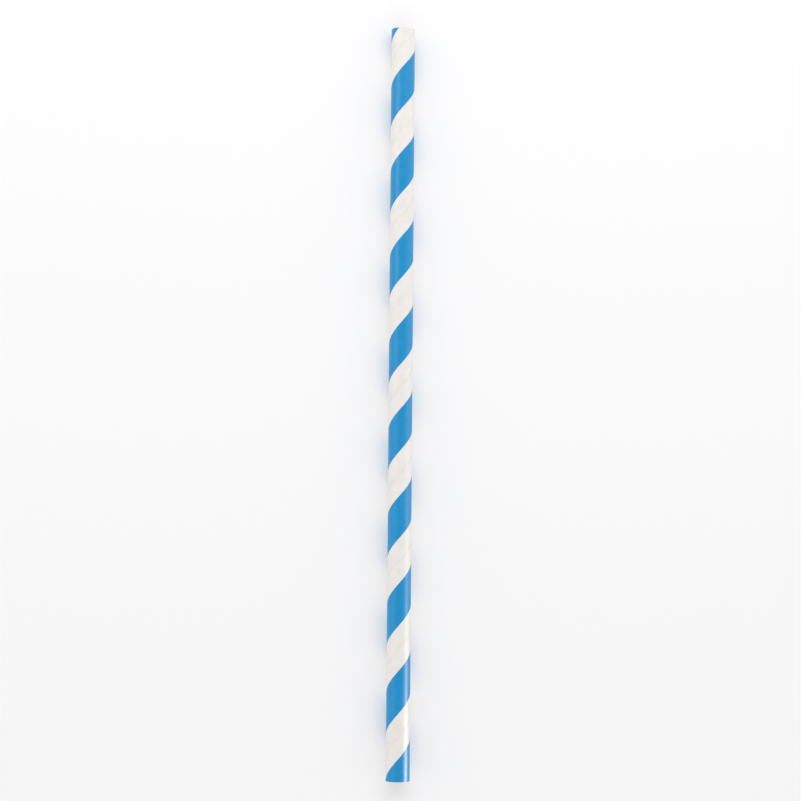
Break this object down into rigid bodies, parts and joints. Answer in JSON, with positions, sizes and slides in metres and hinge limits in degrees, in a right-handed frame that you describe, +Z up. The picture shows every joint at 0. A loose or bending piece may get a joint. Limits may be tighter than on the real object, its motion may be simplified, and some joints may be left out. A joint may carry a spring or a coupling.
{
  "type": "paper drinking straw",
  "caption": "Slim spiral-wound paper tube with square open ends and a helical colour stripe, for drinking from a cup, glass or bottle.",
  "frame": {"origin": "on the floor under the middle of the straw, where it lies", "axes": "+Y along the straw, +Z up from the floor, +X to the right seen from above with +Y ahead"},
  "size_m": [0.0062, 0.197, 0.0063],
  "materials": {
    "paper": "white straw paper with a satin printed stripe"
  },
  "bodies": {
    "root": {"straw_tube": "paper"}
  },
  "joints": []
}
